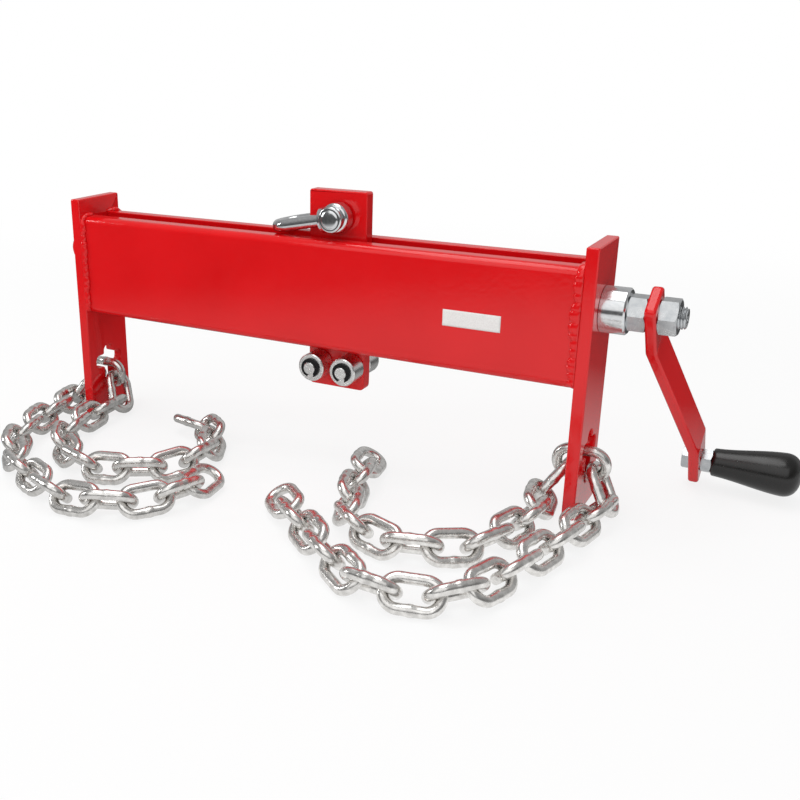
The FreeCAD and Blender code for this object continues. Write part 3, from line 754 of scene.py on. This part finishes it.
def blank_label():
    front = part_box("front_channel")[0].y
    per = LABEL_COLUMNS + 1
    sheet = per * (LABEL_ROWS + 1)
    vertices = []
    for off, curl in ((LABEL_BACK, 0.0), (LABEL_FRONT, LABEL_CURL)):
        for row in range(LABEL_ROWS + 1):
            for column in range(per):
                across = LABEL_LEFT + (LABEL_RIGHT - LABEL_LEFT) * column / LABEL_COLUMNS
                up = LABEL_BOTTOM + (LABEL_TOP - LABEL_BOTTOM) * row / LABEL_ROWS
                lift = off + curl * abs(math.sin(math.pi * column / LABEL_COLUMNS + row))
                vertices.append((across, front - lift, up))
    faces = []
    for row in range(LABEL_ROWS):
        for column in range(LABEL_COLUMNS):
            here = row * per + column
            faces.append((here, here + per, here + per + 1, here + 1))
            here += sheet
            faces.append((here, here + 1, here + per + 1, here + per))
    edge = list(range(per))
    edge += [row * per + LABEL_COLUMNS for row in range(1, LABEL_ROWS + 1)]
    edge += [LABEL_ROWS * per + column for column in range(LABEL_COLUMNS - 1, -1, -1)]
    edge += [row * per for row in range(LABEL_ROWS - 1, 0, -1)]
    for here, there in zip(edge, edge[1:] + edge[:1]):
        faces.append((here, there, there + sheet, here + sheet))
    piece("blank_label", vertices, faces, PAPER, "frame")


blank_label()


# Painted and plated edges

EDGE_ROUND_MM = {
    "left_end_plate": 1.2,
    "right_end_plate": 1.2,
    "front_channel": 0.8,
    "rear_channel": 0.8,
    "upper_lifting_plate": 1.0,
    "lower_lifting_plate": 1.0,
    "crank_arm": 2.0,
}
for name, width_mm in EDGE_ROUND_MM.items():
    soften_edges(name, width_mm)


# Floor, light and camera

FLOOR_REACH = 6.0
FLOOR_BELOW = 0.3 * MM
ROOM_MIDDLE = (0.05, 0, 0.12)
SOFTBOXES = {
    "top_softbox": {"place": (-0.2, -0.1, 1.8), "wide": 1.5, "high": 0.9, "watts": 11},
    "front_softbox": {"place": (0.2, -1.9, 1.4), "wide": 3.0, "high": 2.0, "watts": 16},
    "left_softbox": {"place": (-1.7, -0.7, 0.6), "wide": 0.25, "high": 0.6, "watts": 6},
}

# How shiny pieces see the floor: a painted pool of light that the floor gives off, with painted shade
# that makes it dimmer to the left, a soft slanted front edge, and a painted shadow falling to dark behind
# Painted shade: the floor glows dimmer to the left for shiny pieces
PAINTED_SHADE_SIDE = {"From Min": -0.35, "From Max": 0.25, "To Min": 0.65, "To Max": 1.0}
FRONT_SLANT = 0.8
PAINTED_POOL_FRONT = {"From Min": -1.0, "From Max": -0.5, "To Min": 0.0, "To Max": 1.0}
BACK_SLANT = -0.35
# Painted shadow: the floor glows darker behind and under the beam for shiny pieces
PAINTED_SHADOW_BACK = {"From Min": -0.2, "From Max": 0.3, "To Min": 1.0, "To Max": 0.0}
PAINTED_POOL_LEAST = 0.08

# How the camera sees the floor: a little of the shade near the middle, plain white further out
CAMERA_FADE = {"From Min": 0.35, "From Max": 1.3, "To Min": 0.8, "To Max": 1.0}

# How shiny pieces see the room, and how much light it gives to the rest
WALL_SHINE = {"From Min": -0.3, "From Max": 0.8, "To Min": 0.12, "To Max": 0.5}
CEILING_SHINE = {"From Min": 0.2, "From Max": 0.75, "To Min": 0.12, "To Max": 0.4}
ROOM_LIGHT = 0.6


def white_floor():
    mesh = bpy.data.meshes.new("studio_floor")
    corners = [(x * FLOOR_REACH, y * FLOOR_REACH, 0) for x, y in ((-1, -1), (1, -1), (1, 1), (-1, 1))]
    mesh.from_pydata(corners, [], [(0, 1, 2, 3)])
    floor = bpy.data.objects.new("studio_floor", mesh)
    scene.collection.objects.link(floor)
    floor.location.z = -FLOOR_BELOW

    # White floor under the object that fades into a white room. Shiny pieces see a painted pool of light
    # that the floor gives off, with painted shade and a painted shadow, and the dark of the room past its
    # edges.
    material, tree, where = bare_material("floor_with_painted_light")
    rays = add(tree, "ShaderNodeLightPath").outputs
    split = add(tree, "ShaderNodeSeparateXYZ", {"Vector": where}).outputs
    # Painted shade: dimmer to the left
    side = add(tree, "ShaderNodeMapRange", {"Value": split["X"], **PAINTED_SHADE_SIDE})
    to_front = add(tree, "ShaderNodeMath", {
        0: split["X"], 1: FRONT_SLANT, 2: split["Y"],
    }, operation="MULTIPLY_ADD")
    # Soft slanted front edge of the painted pool of light
    front = add(tree, "ShaderNodeMapRange", {
        "Value": to_front.outputs["Value"], **PAINTED_POOL_FRONT,
    }, interpolation_type="SMOOTHSTEP")
    to_back = add(tree, "ShaderNodeMath", {
        0: split["X"], 1: BACK_SLANT, 2: split["Y"],
    }, operation="MULTIPLY_ADD")
    # Painted shadow: darker behind and under the beam
    back = add(tree, "ShaderNodeMapRange", {"Value": to_back.outputs["Value"], **PAINTED_SHADOW_BACK})
    # The painted pool of light with its painted shade and shadow, given off by the floor for shiny pieces
    painted_pool = add(tree, "ShaderNodeMath", {
        0: front.outputs["Result"], 1: back.outputs["Result"],
    }, operation="MULTIPLY")
    lit = add(tree, "ShaderNodeMath", {
        0: painted_pool.outputs["Value"], 1: side.outputs["Result"],
    }, operation="MULTIPLY")
    shine = add(tree, "ShaderNodeMath", {0: lit.outputs["Value"], 1: PAINTED_POOL_LEAST}, operation="MAXIMUM")
    away = add(tree, "ShaderNodeVectorMath", {0: where}, operation="LENGTH")
    fade = add(tree, "ShaderNodeMapRange", {
        "Value": away.outputs["Value"], **CAMERA_FADE,
    }, interpolation_type="SMOOTHSTEP")
    seen = add(tree, "ShaderNodeMath", {
        0: rays["Is Camera Ray"], 1: fade.outputs["Result"],
    }, operation="MULTIPLY")
    shown = add(tree, "ShaderNodeMath", {
        0: seen.outputs["Value"], 1: rays["Is Glossy Ray"],
    }, operation="MAXIMUM")
    # The floor glows with the painted light for reflections, and plain white for the camera
    glow = add(tree, "ShaderNodeMath", {
        0: rays["Is Camera Ray"], 1: shine.outputs["Value"],
    }, operation="MAXIMUM")
    white = add(tree, "ShaderNodeEmission", {"Color": srgb("#FFFFFF"), "Strength": glow.outputs["Value"]})
    paper = add(tree, "ShaderNodeBsdfPrincipled", {
        "Base Color": srgb("#F2F2F2"),
        "Roughness": 0.9,
        "Specular IOR Level": 0.1,
    })
    mixed = add(tree, "ShaderNodeMixShader", {
        "Fac": shown.outputs["Value"], 1: paper.outputs["BSDF"], 2: white.outputs["Emission"],
    })
    add(tree, "ShaderNodeOutputMaterial", {"Surface": mixed.outputs["Shader"]})
    mesh.materials.append(material)


def white_room():
    # Shiny pieces see a room that is dark in front of them and pale overhead and behind.
    world = bpy.data.worlds.new("white_studio")
    scene.world = world
    world.use_nodes = True
    tree = world.node_tree
    tree.nodes.clear()
    rays = add(tree, "ShaderNodeLightPath").outputs
    way = add(tree, "ShaderNodeTexCoord").outputs["Generated"]
    split = add(tree, "ShaderNodeSeparateXYZ", {"Vector": way}).outputs
    walls = add(tree, "ShaderNodeMapRange", {"Value": split["Y"], **WALL_SHINE})
    ceiling = add(tree, "ShaderNodeMapRange", {"Value": split["Z"], **CEILING_SHINE})
    room = add(tree, "ShaderNodeMath", {
        0: walls.outputs["Result"], 1: ceiling.outputs["Result"],
    }, operation="MAXIMUM")
    around = add(tree, "ShaderNodeMix", {
        "Factor": rays["Is Glossy Ray"], "A": ROOM_LIGHT, "B": room.outputs["Value"],
    }, data_type="FLOAT")
    glow = add(tree, "ShaderNodeMath", {
        0: rays["Is Camera Ray"], 1: around.outputs["Result"],
    }, operation="MAXIMUM")
    white = add(tree, "ShaderNodeBackground", {"Color": srgb("#FFFFFF"), "Strength": glow.outputs["Value"]})
    add(tree, "ShaderNodeOutputWorld", {"Surface": white.outputs["Background"]})


def softbox(name, place, wide, high, watts):
    lamp = bpy.data.lights.new(name, "AREA")
    lamp.shape = "RECTANGLE"
    lamp.size = wide
    lamp.size_y = high
    lamp.energy = watts
    made = bpy.data.objects.new(name, lamp)
    scene.collection.objects.link(made)
    made.location = place
    made.rotation_euler = (Vector(ROOM_MIDDLE) - Vector(place)).to_track_quat("-Z", "Y").to_euler()


# Camera fitted to the photograph: place in metres, degrees to the right, down and rolled
CAMERA_PLACE = (0.39929, -0.72552, 0.33773)
CAMERA_TURN = (30.06, 19.97, -0.18)
PHOTO_PIXELS = 800
FOCAL_PIXELS = 1024.06
AXIS_PIXEL = (294.09, 410.88)
SENSOR_MM = 36
NEAREST = 0.01


def photo_camera():
    yaw, pitch, roll = (math.radians(angle) for angle in CAMERA_TURN)
    back = Vector((math.sin(yaw) * math.cos(pitch), -math.cos(yaw) * math.cos(pitch), math.sin(pitch)))
    level = Vector((math.cos(yaw), math.sin(yaw), 0))
    rise = back.cross(level)
    across = math.cos(roll) * level + math.sin(roll) * rise
    up = math.cos(roll) * rise - math.sin(roll) * level
    lens = bpy.data.cameras.new("photo_camera")
    lens.sensor_width = SENSOR_MM
    lens.lens = FOCAL_PIXELS / PHOTO_PIXELS * SENSOR_MM
    lens.shift_x = 0.5 - AXIS_PIXEL[0] / PHOTO_PIXELS
    lens.shift_y = AXIS_PIXEL[1] / PHOTO_PIXELS - 0.5
    lens.clip_start = NEAREST
    made = bpy.data.objects.new("photo_camera", lens)
    scene.collection.objects.link(made)
    turned = Matrix((across, up, back)).transposed().to_4x4()
    made.matrix_world = Matrix.Translation(CAMERA_PLACE) @ turned
    scene.camera = made


white_floor()
white_room()
for name, facts in SOFTBOXES.items():
    softbox(name, **facts)
photo_camera()
scene.view_settings.view_transform = "Standard"
